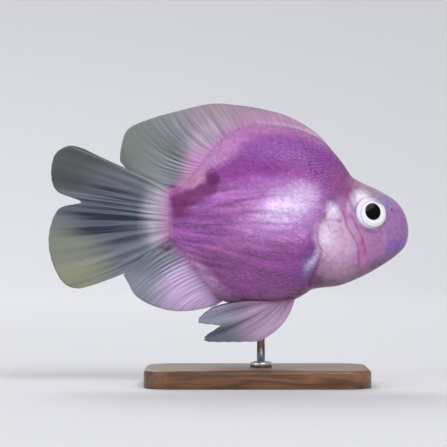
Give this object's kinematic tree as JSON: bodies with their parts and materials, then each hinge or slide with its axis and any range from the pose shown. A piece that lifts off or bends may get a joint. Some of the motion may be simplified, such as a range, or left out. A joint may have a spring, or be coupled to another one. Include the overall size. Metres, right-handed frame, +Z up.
{
  "type": "blood parrot cichlid",
  "caption": "Round-bodied purple aquarium fish with a humped back and spread fins, life size, on a wooden stand with a steel rod.",
  "frame": {"origin": "on the floor, under the middle of the fish's length", "axes": "+X from the tail to the snout, +Y to the fish's left side, +Z up"},
  "size_m": [0.1801, 0.066, 0.1408],
  "materials": {
    "scaled_skin": "cast and painted as wet scaled skin",
    "bare_skin": "cast and painted as the smooth skin of the head",
    "gill_plate": "cast and painted as a thin bony cover",
    "fin": "cast thin and tinted, rays under a clear web",
    "eye": "polished eye with a white iris and a black pupil",
    "walnut": "planed and oiled",
    "steel": "drawn and brushed"
  },
  "bodies": {
    "root": {"head": "bare_skin", "lower_jaw": "bare_skin", "gill_cover_left": "gill_plate", "gill_cover_right": "gill_plate", "trunk": "scaled_skin", "tail_stalk": "scaled_skin", "eye_left": "eye", "eye_right": "eye", "dorsal_fin": "fin", "anal_fin": "fin", "caudal_fin": "fin", "pelvic_fin_left": "fin", "pelvic_fin_right": "fin", "pectoral_fin_left": "fin", "pectoral_fin_right": "fin", "stand_base": "walnut", "stand_collar": "steel", "stand_rod": "steel"}
  },
  "joints": []
}
